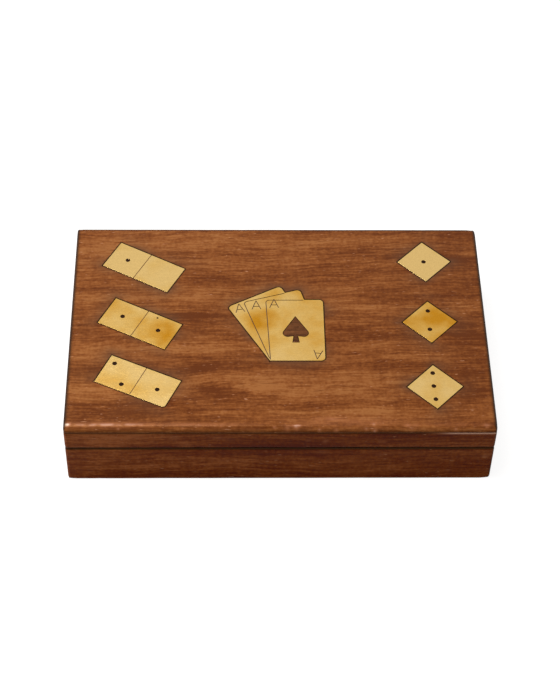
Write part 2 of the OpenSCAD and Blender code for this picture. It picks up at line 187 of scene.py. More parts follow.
def table_material():
    material, tree = new_material("white_studio_table")
    seen = seen_directly(tree, "Is Transmission Ray")
    paper = add(tree, "BsdfDiffuse", {"Color": linear("8E8D8B")})
    glow = add(tree, "Emission", {"Color": linear("FFFFFF"), "Strength": TABLE_GLOW})
    both = add(tree, "AddShader", {0: paper.outputs[0], 1: glow.outputs[0]})
    mixed = add(tree, "MixShader", {0: seen, 1: paper.outputs[0], 2: both.outputs[0]})
    add(tree, "OutputMaterial", {"Surface": mixed.outputs[0]})
    return material


def studio_table():
    half = TABLE_SIZE / 2
    mesh = bpy.data.meshes.new("studio_table")
    corners = [(-half, -half, 0), (half, -half, 0), (half, half, 0), (-half, half, 0)]
    mesh.from_pydata(corners, [], [(0, 1, 2, 3)])
    table = bpy.data.objects.new("studio_table", mesh)
    mesh.materials.append(table_material())
    bpy.context.scene.collection.objects.link(table)


def studio_world():
    world = bpy.data.worlds.new("studio")
    world.use_nodes = True
    tree = world.node_tree
    tree.nodes.clear()
    seen = seen_directly(tree, "Is Glossy Ray", "Is Transmission Ray")
    direction = add(tree, "TexCoord").outputs["Generated"]
    aside = add(tree, "VectorMath", {0: direction, 1: LIT_SIDE}, operation="DOT_PRODUCT")
    level = add(tree, "Math", {
        0: aside.outputs["Value"], 1: ROOM_LEVEL,
    }, operation="ADD", use_clamp=True)
    below = add(tree, "VectorMath", {0: direction, 1: LIT_BELOW}, operation="DOT_PRODUCT")
    level = add(tree, "Math", {0: level.outputs[0], 1: below.outputs["Value"]}, operation="MAXIMUM")
    room = add(tree, "Background", {"Color": linear("FFFDFA"), "Strength": level.outputs[0]})
    white = add(tree, "Background", {"Color": linear("FFFFFF"), "Strength": 1.0})
    mixed = add(tree, "MixShader", {0: seen, 1: room.outputs[0], 2: white.outputs[0]})
    add(tree, "OutputWorld", {"Surface": mixed.outputs[0]})
    bpy.context.scene.world = world


def softbox(name, place, size, power):
    """A rectangular area lamp, turned to the box: place and size in metres, power in watts."""
    data = bpy.data.lights.new(name, "AREA")
    data.shape = "RECTANGLE"
    data.size, data.size_y = size
    data.energy = power
    lamp = bpy.data.objects.new(name, data)
    lamp.location = place
    lamp.rotation_euler = (AIM - Vector(place)).to_track_quat("-Z", "Y").to_euler()
    bpy.context.scene.collection.objects.link(lamp)


bpy.context.scene.view_settings.view_transform = "Standard"
studio_table()
studio_world()
softbox("main_softbox", (-0.28, 0.34, 1.25), (0.46, 0.52), 7)
softbox("side_softbox", (-0.70, 0.05, 1.10), (0.50, 0.50), 9)
softbox("fill_softbox", (-0.55, -0.50, 0.40), (0.30, 0.25), 0.9)

# %% [markdown]
# ## Rosewood under French polish
# The wood is sheesham, an Indian rosewood: mid brown with darker, purplish bands, fine fibres and
# short open pores that show as ticks along the grain. A shop would print such grain from a photo.
# Here it is built from noise that is stretched along the board, one layer for each thing that the
# eye finds: bands 12 mm wide, patches, stripes, streaks 1.2 mm wide, fibres, a ripple across the
# grain, mottle, pores and pale flecks. A real fibre is too fine for the render to show, so fibres
# are drawn 0.65 mm wide. The polish is thin and old, so it is a soft gloss with faint ripples, not
# a mirror. The meshes carry four masks that the material reads by name: the tone of the figure,
# which on the front boards also holds painted light and shade; pale rubbed wear, which also holds
# painted highlights; painted shade along edges, joints and inlay rims; and dark stain.


# %% Rosewood
# Length and width of one feature, in mm, and its share in the figure of the wood.
GRAIN_LAYERS = {
    "band": (150, 12, 1.05),
    "patch": (26, 8, 0.50),
    "stripe": (70, 2.6, 0.55),
    "streak": (22, 1.2, 0.75),
    "fibre": (6, 0.65, 0.65),
    "ripple": (2.4, 9, 0.30),
    "mottle": (1.5, 1.3, 0.60),
}
PORE = (14, 0.40)
FLECK = (2.6, 0.55)
# The grain sways within this width, in waves 71 mm long. The polish is uneven every 11 mm.
SWAY = 9 * MM
SWAY_PER_METRE = 14.0
UNEVEN_PER_METRE = 90.0
TONE_WEIGHT = 1.9
PORE_DEPTH = -0.25
FLECK_COLOUR, STAIN_COLOUR, PAINTED_SHADE_COLOUR = "B98462", "523524", "1C0A03"


def rosewood(name, along, shift, tones, slope=0.0, contrast=1.0):
    """Polished sheesham with its grain along x or y. shift picks another part of the tree."""
    material, tree = new_material(name)
    place = add(tree, "TexCoord")
    turn = slope if along == "x" else slope + math.pi / 2
    turned = add(tree, "Mapping", {"Vector": place.outputs["Object"], "Rotation": (0, 0, -turn)})
    shifted = add(tree, "Mapping", {"Vector": turned.outputs[0], "Location": shift})

    sway = add(tree, "TexNoise", {"Vector": shifted.outputs[0], "Scale": SWAY_PER_METRE, "Detail": 2.0})
    swayed = add(tree, "VectorMath", {0: sway.outputs["Color"], 1: (0.5, 0.5, 0.5)}, operation="SUBTRACT")
    swayed = add(tree, "VectorMath", {0: swayed.outputs[0], 1: (0.0, SWAY, SWAY)}, operation="MULTIPLY")
    grain = add(tree, "VectorMath", {0: shifted.outputs[0], 1: swayed.outputs[0]}, operation="ADD")

    def layer(length, width, detail):
        stretch = add(tree, "VectorMath", {
            0: grain.outputs[0], 1: (1 / (length * MM), 1 / (width * MM), 1 / (width * MM)),
        }, operation="MULTIPLY")
        return add(tree, "TexNoise", {
            "Vector": stretch.outputs[0], "Scale": 1.0, "Detail": detail, "Roughness": 0.5,
        }).outputs["Fac"]

    def weighted(total, part, weight):
        scaled = add(tree, "Math", {0: part, 1: weight}, operation="MULTIPLY")
        return add(tree, "Math", {0: total, 1: scaled.outputs[0]}, operation="ADD").outputs[0]

    def blend(factor, under, over):
        made = add(tree, "Mix", {"Factor": factor, 6: under, 7: over}, data_type="RGBA")
        return made.outputs[2]

    def painted(mask):
        return add(tree, "Attribute", attribute_name=mask).outputs["Fac"]

    # Noise has its middle at 0.5, so half of each share is taken back.
    middle = 0.5 - 0.5 * contrast * sum(share for _, _, share in GRAIN_LAYERS.values())
    figure = weighted(middle, painted("tone"), TONE_WEIGHT)
    for length, width, share in GRAIN_LAYERS.values():
        figure = weighted(figure, layer(length, width, 1.0), share * contrast)
    colour = add(tree, "ValToRGB", {"Fac": figure}, stops=[
        (0.08, tones[0]), (0.38, tones[1]), (0.62, tones[2]), (0.92, tones[3]),
    ]).outputs[0]
    pores = add(tree, "ValToRGB", {"Fac": layer(*PORE, 0.0)}, stops=[(0.62, 0.0), (0.76, 0.55)])
    colour = blend(pores.outputs[0], colour, linear(tones[0]))
    flecks = add(tree, "ValToRGB", {"Fac": layer(*FLECK, 0.0)}, stops=[(0.77, 0.0), (0.87, 0.6)])
    colour = blend(flecks.outputs[0], colour, linear(FLECK_COLOUR))

    # What use has left: dark polish round the inlays and pale rubbed edges. The pale mask also holds
    # painted highlights, cream at the top of its ramp, and the last mask is painted shade along the
    # edges, in the joints and round the inlays.
    colour = blend(painted("stain"), colour, linear(STAIN_COLOUR))
    rub_and_highlight_share = painted("rub_and_highlight")
    pale_and_lit = add(tree, "ValToRGB", {"Fac": rub_and_highlight_share}, stops=[(0.35, "B0704C"), (0.65, "CB9A84"), (1.0, "F4E0C8")])
    colour = blend(rub_and_highlight_share, colour, pale_and_lit.outputs[0])
    colour = blend(painted("painted_shade"), colour, linear(PAINTED_SHADE_COLOUR))

    uneven = add(tree, "TexNoise", {
        "Vector": shifted.outputs[0], "Scale": UNEVEN_PER_METRE, "Detail": 2.0,
    })
    relief = weighted(uneven.outputs["Fac"], pores.outputs[0], PORE_DEPTH)
    bump = add(tree, "Bump", {"Height": relief, "Strength": 0.22, "Distance": 0.15 * MM})
    shine = add(tree, "MapRange", {
        "Value": uneven.outputs["Fac"], "From Min": 0.3, "From Max": 0.7, "To Min": 0.18, "To Max": 0.30,
    })
    polish = add(tree, "BsdfPrincipled", {
        "Base Color": colour, "Roughness": shine.outputs[0], "Normal": bump.outputs[0],
        "IOR": 1.5, "Specular IOR Level": 0.30, "Specular Tint": linear("FFC080"),
    })
    add(tree, "OutputMaterial", {"Surface": polish.outputs[0]})
    return material


# Four tones from dark to light.
LID_TONES = ("532205", "6A3613", "7C451E", "8E582E")
FRONT_TONES = ("581200", "6E2900", "813D0E", "9D5628")
lid_wood = rosewood("french_polished_sheesham_lid", "x", (0.31, 0.07, 0.0), LID_TONES, 0.02, 1.1)
front_wood = rosewood("french_polished_sheesham_front", "x", (0.9, 0.4, 0.2), FRONT_TONES)
side_wood = rosewood("french_polished_sheesham_sides", "y", (0.2, 0.7, 0.5), FRONT_TONES)
print("woods:", lid_wood.name, front_wood.name, side_wood.name)

# %% [markdown]
# ## Brass sheet, filed flush
# The inlays are brass, let into the lid and filed level with it, then lacquered over with the wood.
# It has no mirror left: it is a pale gold with fine file scratches, and in patches it has turned
# orange. Lines cut into it are full of dark wax. The CAD has those lines as real grooves, so
# whatever lies below the surface is dark.


# %% Brass of the inlays
# Clouds of tarnish 18 mm across, file scratches 3.3 by 0.4 mm, and speckle of 1.1 mm.
CLOUD_PER_METRE = 55.0
SCRATCH_PER_METRE = (300, 2600, 2600)
SPECKLE_PER_METRE = 900.0
# The share of a warm patch's reach that is warm in full.
WARM_CORE = 0.3
# How far below the lid's surface the wax in a groove begins, and where it is full.
WAX_BEGINS, WAX_FULL = 0.03 * MM, 0.12 * MM


def inlaid_brass(name, shift, warmth, wax, patches):
    """Old filed brass: how much of it has turned orange, what fills its lines, and where it is warmer."""
    material, tree = new_material(name)
    place = add(tree, "TexCoord")
    shifted = add(tree, "Mapping", {"Vector": place.outputs["Object"], "Location": shift})
    cloud = add(tree, "TexNoise", {
        "Vector": shifted.outputs[0], "Scale": CLOUD_PER_METRE, "Detail": 3.0, "Roughness": 0.55,
    })
    level = add(tree, "Math", {0: cloud.outputs["Fac"], 1: warmth - 0.5}, operation="ADD")
    for x, y, reach, more in patches:
        away = add(tree, "VectorMath", {
            0: place.outputs["Object"], 1: (x * MM, y * MM, TOP_Z),
        }, operation="DISTANCE")
        warm = add(tree, "MapRange", {
            "Value": away.outputs["Value"], "From Min": WARM_CORE * reach * MM, "From Max": reach * MM,
            "To Min": more, "To Max": 0.0,
        }, interpolation_type="SMOOTHSTEP")
        level = add(tree, "Math", {0: level.outputs[0], 1: warm.outputs[0]}, operation="ADD")
    colour = add(tree, "ValToRGB", {"Fac": level.outputs[0]}, stops=[
        (0.30, "DAB672"), (0.48, "D5AC60"), (0.62, "CE9D48"), (0.82, "C08420"),
    ])
    stretch = add(tree, "VectorMath", {0: shifted.outputs[0], 1: SCRATCH_PER_METRE}, operation="MULTIPLY")
    scratches = add(tree, "TexNoise", {
        "Vector": stretch.outputs[0], "Scale": 1.0, "Detail": 3.0, "Roughness": 0.7,
    })
    speckle = add(tree, "TexNoise", {
        "Vector": shifted.outputs[0], "Scale": SPECKLE_PER_METRE, "Detail": 1.0,
    })
    mottle = add(tree, "ValToRGB", {"Fac": speckle.outputs["Fac"]}, stops=[(0.3, 0.93), (0.7, 1.0)])
    mottled = add(tree, "Mix", {
        "Factor": 1.0, 6: colour.outputs[0], 7: mottle.outputs[0],
    }, data_type="RGBA", blend_type="MULTIPLY")
    split = add(tree, "SeparateXYZ", {"Vector": place.outputs["Object"]})
    groove = add(tree, "MapRange", {
        "Value": split.outputs["Z"], "From Min": TOP_Z - WAX_FULL, "From Max": TOP_Z - WAX_BEGINS,
        "To Min": 1.0, "To Max": 0.0,
    })
    waxed = add(tree, "Mix", {
        "Factor": groove.outputs[0], 6: mottled.outputs[2], 7: linear(wax),
    }, data_type="RGBA")
    metal = add(tree, "Math", {0: 1.0, 1: groove.outputs[0]}, operation="SUBTRACT")
    shine = add(tree, "MapRange", {
        "Value": scratches.outputs["Fac"], "From Min": 0.3, "From Max": 0.7, "To Min": 0.16, "To Max": 0.24,
    })
    bump = add(tree, "Bump", {"Height": scratches.outputs["Fac"], "Strength": 0.15, "Distance": 0.05 * MM})
    brass = add(tree, "BsdfPrincipled", {
        "Base Color": waxed.outputs[2], "Metallic": metal.outputs[0], "Roughness": shine.outputs[0],
        "Normal": bump.outputs[0],
    })
    add(tree, "OutputMaterial", {"Surface": brass.outputs[0]})
    return material


# How warm each inlay is, what wax fills its lines, and patches: x and y in mm, reach in mm, how much.
LIGHT_WAX, DARK_WAX = "7C5628", "4A2A12"
INLAYS = {
    "back_domino_inlay": (0.30, LIGHT_WAX, []),
    "middle_domino_inlay": (0.46, LIGHT_WAX, [(-56, -4, 11, 0.22), (-84, 6, 8, 0.05)]),
    "front_domino_inlay": (0.38, LIGHT_WAX, []),
    "one_die_inlay": (0.28, DARK_WAX, []),
    "two_die_inlay": (0.70, DARK_WAX, [(76, 3, 8, 0.12)]),
    "three_die_inlay": (0.40, DARK_WAX, []),
    "card_fan_inlay": (0.50, DARK_WAX, [
        (18, 6, 11, 0.12), (4, -17, 9, -0.18), (-7.5, 3, 10, 0.24), (-14, 3, 8, 0.18), (-4, 18, 8, 0.10),
    ]),
}

# %% [markdown]
# ## Small finishes
# The pips are drilled and filled with shellac cement, almost black. The hinges are turned and
# pressed brass that nobody polished. The bottom is thin plywood, and the linings are short velvet.


# %% Cement, hinge brass and plywood
# Grit of 0.4 mm, tarnish 3.8 mm across, and turning marks 0.17 mm apart along the pin.
GRIT_PER_METRE = 2500.0
TARNISH_PER_METRE = 260.0
TURNING_PER_METRE = (6000, 500, 500)


def shellac_cement():
    material, tree = new_material("dark_shellac_cement")
    place = add(tree, "TexCoord")
    grit = add(tree, "TexNoise", {
        "Vector": place.outputs["Object"], "Scale": GRIT_PER_METRE, "Detail": 2.0,
    })
    colour = add(tree, "ValToRGB", {"Fac": grit.outputs["Fac"]}, stops=[(0.35, "180B05"), (0.65, "321B0C")])
    bump = add(tree, "Bump", {"Height": grit.outputs["Fac"], "Strength": 0.4, "Distance": 0.1 * MM})
    cement = add(tree, "BsdfPrincipled", {
        "Base Color": colour.outputs[0], "Roughness": 0.7, "Normal": bump.outputs[0], "IOR": 1.52,
        "Specular IOR Level": 0.05,
    })
    add(tree, "OutputMaterial", {"Surface": cement.outputs[0]})
    return material


def dull_brass():
    material, tree = new_material("turned_hinge_brass")
    place = add(tree, "TexCoord")
    stain = add(tree, "TexNoise", {
        "Vector": place.outputs["Object"], "Scale": TARNISH_PER_METRE, "Detail": 4.0,
    })
    colour = add(tree, "ValToRGB", {"Fac": stain.outputs["Fac"]}, stops=[
        (0.35, "6E4F22"), (0.52, "A8803C"), (0.68, "C9A45C"),
    ])
    rings = add(tree, "VectorMath", {
        0: place.outputs["Object"], 1: TURNING_PER_METRE,
    }, operation="MULTIPLY")
    marks = add(tree, "TexNoise", {"Vector": rings.outputs[0], "Scale": 1.0, "Detail": 2.0})
    shine = add(tree, "MapRange", {
        "Value": stain.outputs["Fac"], "From Min": 0.35, "From Max": 0.65, "To Min": 0.5, "To Max": 0.3,
    })
    bump = add(tree, "Bump", {"Height": marks.outputs["Fac"], "Strength": 0.3, "Distance": 0.04 * MM})
    brass = add(tree, "BsdfPrincipled", {
        "Base Color": colour.outputs[0], "Metallic": 1.0, "Roughness": shine.outputs[0],
        "Normal": bump.outputs[0],
    })
    add(tree, "OutputMaterial", {"Surface": brass.outputs[0]})
    return material


cement = shellac_cement()
hinge_brass = dull_brass()
PLY_TONES = ("8A6136", "A67A48", "B88B56", "C99E6A")
plywood = rosewood("varnished_plywood", "x", (0.5, 0.1, 0.3), PLY_TONES)
print("small finishes:", cement.name, hinge_brass.name, plywood.name)


# %% Velvet
# Strokes of the brushed pile, 17 by 40 mm, and the pile itself, drawn 0.3 mm coarse so that it shows.
LAY_PER_METRE = (60, 25, 60)
PILE_PER_METRE = 3200.0


def velvet_material():
    material, tree = new_material("short_pile_velvet")
    place = add(tree, "TexCoord")
    lay = add(tree, "VectorMath", {0: place.outputs["Object"], 1: LAY_PER_METRE}, operation="MULTIPLY")
    brushed = add(tree, "TexNoise", {"Vector": lay.outputs[0], "Scale": 1.0, "Detail": 5.0, "Roughness": 0.6})
    pile = add(tree, "TexNoise", {
        "Vector": place.outputs["Object"], "Scale": PILE_PER_METRE, "Detail": 2.0,
    })
    colour = add(tree, "ValToRGB", {"Fac": brushed.outputs["Fac"]}, stops=[
        (0.30, "4C0812"), (0.55, "5C0B18"), (0.75, "6C1322"),
    ])
    bump = add(tree, "Bump", {"Height": pile.outputs["Fac"], "Strength": 0.8, "Distance": 0.3 * MM})
    cloth = add(tree, "BsdfPrincipled", {
        "Base Color": colour.outputs[0], "Roughness": 0.9, "Normal": bump.outputs[0],
        "Specular IOR Level": 0.1, "Sheen Weight": 0.7, "Sheen Roughness": 0.35,
        "Sheen Tint": linear("C9717C"),
    })
    add(tree, "OutputMaterial", {"Surface": cloth.outputs[0]})
    return material


velvet = velvet_material()

# %% [markdown]
# ## Worn boards
# The CAD boards have perfect edges. A box that has been carried about for decades has not: its
# edges are a little wavy, rounder in places and chipped. Each wooden board that shows is cut into
# short lengths, and the points near its outer edges are pushed in, by a slow wave and by a few
# chips. They only move in, so the box keeps its size, and neighbours share one wave, so their
# joints stay closed.


# %% Cutting a board into short lengths
SLICE = 2.0 * MM
# Points nearer than this are one point, and faces that differ by less than this angle are one face.
SAME_POINT = 1e-6
FLAT_ANGLE = math.radians(0.5)


def board_mesh(node):
    """The node's solid as one welded mesh, with its flat triangles joined."""
    bm = bmesh.new()
    bm.from_mesh(NODES[node].data)
    bmesh.ops.remove_doubles(bm, verts=bm.verts[:], dist=SAME_POINT)
    bmesh.ops.dissolve_limit(bm, angle_limit=FLAT_ANGLE, verts=bm.verts[:], edges=bm.edges[:])
    return bm


def slice_across(bm, axis, places, within=lambda co: True):
    """Cuts the faces that have all their corners within a region by planes across an axis."""
    direction = Vector([1.0 if i == axis else 0.0 for i in range(3)])
    for place in places:
        faces = [f for f in bm.faces if all(within(v.co) for v in f.verts)]
        edges = {e for f in faces for e in f.edges}
        verts = {v for f in faces for v in f.verts}
        bmesh.ops.bisect_plane(
            bm, geom=list(verts) + list(edges) + faces, dist=SAME_POINT,
            plane_co=direction * place, plane_no=direction,
        )


def steps(low, high, step):
    count = max(1, round((high - low) / step))
    return [low + (high - low) * i / count for i in range(1, count)]


print("slices of", SLICE / MM, "mm")

# %% [markdown]
# ## How an edge wears
# Each kind of edge wears in its own way. The long top edge is rubbed by hands, and the upright
# corners and the foot by tables and shelves. The edges and the two joint lines get painted shade,
# darkest along the joint of lid and base and along the lid's top edges. A point near two of the
# board's outer faces is on an edge: it moves in along both, and gets its share of rub and of
# painted shade.

# %% Worn edges
EDGE_REACH = 1.3 * MM
GLUE_REACH = 0.9 * MM
REAL_CORNER = math.radians(32)
# What is nearer than this to a face or a rim lies on it.
TOUCH = 1e-5
# Slow waves and short nicks in how deep an edge is worn, and patches in how rubbed it is.
WAVE_SIZE, WAVE = 22 * MM, 0.7
NICK_SIZE, NICK = 6 * MM, 1.6
RUB_SIZE, RUB = 9 * MM, 0.9
# Painted shade reaches further from the top edge than from the others.
TOP_SHADE, OTHER_SHADE = 2.6, 1.6
# How deep each kind of edge is worn, in mm, how rubbed it looks, and how much painted shade it gets.
EDGE_KINDS = {
    "side": (0.05, 0.10, 0.35), "foot": (0.06, 0.45, 0.0), "top": (0.05, 0.05, 0.90),
    "front": (0.05, 0.20, 0.0), "glue": (0.16, 0.0, 0.80), "seam": (0.26, 0.0, 0.97),
}


def outer_faces(node, below, above):
    """The outer faces of the box that this board reaches, and its own two level faces."""
    low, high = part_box(node)
    found = [(2, -1, low.z, below), (2, 1, high.z, above)]
    for axis in (0, 1):
        for sign, mine, limit in ((-1, low[axis], CAD_LOW[axis]), (1, high[axis], CAD_HIGH[axis])):
            if abs(mine - limit) < TOUCH:
                found.append((axis, sign, limit, "side"))
    return found


def edge_kind(near):
    """What the edge between two faces is called. The lid's front edge is the one that hands rub."""
    names = [face[3] for face in near]
    if "top" in names and (1, -1) in [face[1:3] for face in near]:
        return "front"
    return next((name for name in names if name != "side"), "side")


def patchy(point, size, seed):
    """Smooth noise from -1 to 1 with features of that size."""
    return noise.noise(point / size + Vector((seed, 2 * seed, 3 * seed)))


def wear_edges(bm, faces, reach, chips):
    rub_and_highlight = bm.verts.layers.float.new("rub_and_highlight")
    painted_shade = bm.verts.layers.float.new("painted_shade")
    for v in bm.verts:
        near = sorted(
            (max(0.0, sign * (limit - v.co[axis])), axis, sign, name) for axis, sign, limit, name in faces
        )
        gap = near[1][0]
        kind = edge_kind(near[:2])
        width = min(reach, GLUE_REACH) if kind == "glue" else reach
        if gap >= width or near[0][1] == near[1][1]:
            continue
        deep, rub_and_highlight_share, shade_share = EDGE_KINDS[kind]
        place = v.co.copy()
        fade = (1 - gap / width) ** 2
        nick = max(0, patchy(place, NICK_SIZE, 9) - 0.2)
        depth = deep * MM * (1 + WAVE * patchy(place, WAVE_SIZE, 3) + NICK * nick)
        for spot, size, cut in chips:
            off = (place - Vector(spot) * MM).length / (size * MM)
            depth += cut * MM * math.exp(-off * off)
        for _, axis, sign, _ in near[:2]:
            v.co[axis] -= sign * depth * fade
        v[rub_and_highlight] = fade * rub_and_highlight_share * (0.7 + RUB * patchy(place, RUB_SIZE, 5))
        v[painted_shade] = shade_share * min(1.0, (TOP_SHADE if kind == "top" else OTHER_SHADE) * fade)


def piece(name, bm, materials, body, slot, *nodes):
    """An object from a mesh, smooth except at its real corners, riding on its body."""
    mesh = bpy.data.meshes.new(name)
    bm.normal_update()
    for f in bm.faces:
        f.smooth = True
    for e in bm.edges:
        e.smooth = e.calc_face_angle(0) < REAL_CORNER
    bm.to_mesh(mesh)
    bm.free()
    for material in materials:
        mesh.materials.append(material)
    made = bpy.data.objects.new(name, mesh)
    bpy.context.scene.collection.objects.link(made)
    weighted = made.modifiers.new("even_shading", "WEIGHTED_NORMAL")
    weighted.keep_sharp = True
    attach(made, body)
    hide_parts(*nodes)
    return made


def paint_zones(bm, mask, zones, flat_axis):
    """Paints soft ellipses on a mask: middle in mm, half length, half width, turn and strength."""
    layer = bm.verts.layers.float.get(mask) or bm.verts.layers.float.new(mask)
    for middle, long, wide, turn, strength in zones:
        cos, sin = math.cos(math.radians(turn)), math.sin(math.radians(turn))
        for v in bm.verts:
            across = v.co.y if flat_axis == 2 else v.co.z
            dx, dy = v.co.x / MM - middle[0], across / MM - middle[1]
            off = ((dx * cos + dy * sin) / long) ** 2 + ((dy * cos - dx * sin) / wide) ** 2
            if off < 6 and mask == "tone":
                v[layer] += strength * math.exp(-off)
            elif off < 6:
                broken = min(1.0, 0.85 + 0.8 * patchy(v.co, 3 * MM, 7))
                v[layer] = max(v[layer], strength * broken * math.exp(-off))


print("kinds of edge:", list(EDGE_KINDS))

# %% [markdown]
# ## Lid board
# The top board is the face of the box. Its flat doesn't stop at a line: hand-rubbing has made it
# fall away over the last few millimetres, and that slope is what catches the softbox. The long
# front edge is cut finer, so that it can carry the small chips that the photograph shows. Round the
# inlays the pores are full of dark polish, and the pockets are lined with cement.

# %% Lid board
CORNER_X, CORNER_Y = CAD_HIGH[0] / MM, CAD_HIGH[1] / MM
# The lid's four corners are knocked and its front edge is chipped: place, width and depth in mm.
LID_CHIPS = [
    ((CORNER_X, -CORNER_Y, 38.6), 3.2, 0.5), ((-CORNER_X, -CORNER_Y, 38.6), 2.4, 0.2),
    ((CORNER_X, CORNER_Y, 38.6), 2.6, 0.5), ((-CORNER_X, CORNER_Y, 38.6), 2.0, 0.25),
    ((7, -63.15, 38.8), 2.6, 0.10), ((3, -63.65, 38.5), 2.2, 0.12), ((43.5, -62.25, 38.9), 1.3, 0.10),
    ((40, -63.85, 38.3), 1.3, 0.22), ((44, -64.65, 37.1), 1.6, 0.20), ((61.5, -63.55, 38.6), 1.6, 0.12),
    ((96.5, -63.25, 38.7), 1.2, 0.12), ((-3, -63.25, 38.7), 1.0, 0.10), ((-28, -62.85, 38.8), 1.2, 0.10),
    ((-39, -62.65, 38.9), 1.0, 0.08), ((-46, -63.65, 38.5), 0.9, 0.10), ((26, -64.55, 37.4), 1.4, 0.15),
    ((18, -64.25, 37.9), 1.0, 0.12), ((82, -64.05, 38.1), 1.0, 0.12), ((-76, -63.85, 38.3), 0.9, 0.10),
]
# Where the figure of the lid is lighter (+) or darker (-): middle in mm, half length, half width, turn.
LID_TONE_ZONES = [
    ((-10, 42), 55, 7, 0, 0.12), ((-80, 52), 30, 12, 0, 0.09), ((8, -46), 24, 9, -8, 0.04),
    ((46, -53), 13, 7, 0, 0.13), ((36, 11), 18, 3.5, -5, 0.13), ((-46, -16), 22, 3.5, -10, 0.08),
    ((40, -32), 20, 5, -12, 0.05), ((92, 17), 7, 5, 0, 0.10), ((-10, 56), 60, 5, 0, 0.04),
    ((-42, 4), 17, 7, 0, -0.18), ((-35, -27), 9, 4, 0, -0.28), ((-33, -41), 10, 4.5, 0, -0.32),
    ((-78, -53), 32, 9, 0, -0.13), ((90, 44), 13, 18, 0, -0.16), ((90, -6), 12, 10, 0, -0.14),
    ((90, -40), 11, 18, 0, -0.08), ((28, -3), 16, 5, 0, -0.12), ((-38, 30), 9, 3, 0, -0.15),
    ((32, -20), 22, 4, -8, -0.08), ((72, -2), 20, 8, 0, -0.05), ((-92, 10), 10, 14, 0, -0.05),
]
# Rubbed places on the lid, in the same way. The first is a cream painted highlight on the left
# corner of the front edge; the next two are rub with a pink painted highlight along the left half
# of that edge.
LID_RUBS_AND_HIGHLIGHTS = [
    ((-100, -61.9), 2.6, 1.2, 0, 1.0), ((-80, -62.0), 26, 1.2, 0, 0.66), ((-38, -62.0), 24, 1.0, 0, 0.42),
    ((23, -58.8), 7, 0.9, 0, 0.45), ((44, -61.4), 3.0, 1.1, 0, 0.62), ((61, -62.4), 3.4, 1.0, 0, 0.60),
    ((96.5, -62.4), 2.4, 0.9, 0, 0.60), ((30, -60.6), 26, 2.8, 0, 0.24), ((7, -62.6), 5, 0.8, 0, 0.70),
    ((-38.5, -62.0), 1.4, 0.7, 0, 0.65), ((-28, -62.0), 1.4, 0.7, 0, 0.65), ((80, -62.2), 18, 1.4, 0, 0.18),
]
# The chips of the front edge are rubbed too.
LID_RUBS_AND_HIGHLIGHTS += [
    ((x, y), 0.8 * wide, 0.6 * wide, 0, 0.5) for (x, y, _), wide, _ in LID_CHIPS if abs(x) < CORNER_X
]
# How far in and how much the top falls away at the front edge, and at the other three.
FALL_REACH = 4.2 * MM
FALL = 0.28 * MM
SIDE_FALL_REACH = 1.6 * MM
SIDE_FALL = 0.05 * MM
# More cuts near the edges, so that the fall is smooth, and finer ones in the band along the front.
FALL_CUTS = (2.4 * MM, 3.1 * MM, 4.6 * MM)
FINE_BAND = 3.2 * MM
# One more cut lies this near to each joint.
JOINT_CUT = 0.5 * MM
# How far the wear of the lid board's edges reaches.
TOP_ROUND = 2.4 * MM
# Dark polish round the inlays: how far it reaches, the size of its patches and its most.
STAIN_REACH = 3.6 * MM
STAIN_PATCH = 9 * MM
STAIN_MOST = 0.85
# The rim that is cut along the outlines of the top, and the painted shade where it meets an inlay.
RIM = 0.6 * MM
RIM_SHADE = 0.9
# The pockets lie within this margin, and their walls and floors between these depths.
INLAY_MARGIN = 8 * MM
POCKET_FLOOR, POCKET_RIM = 1.1 * MM, 0.02 * MM


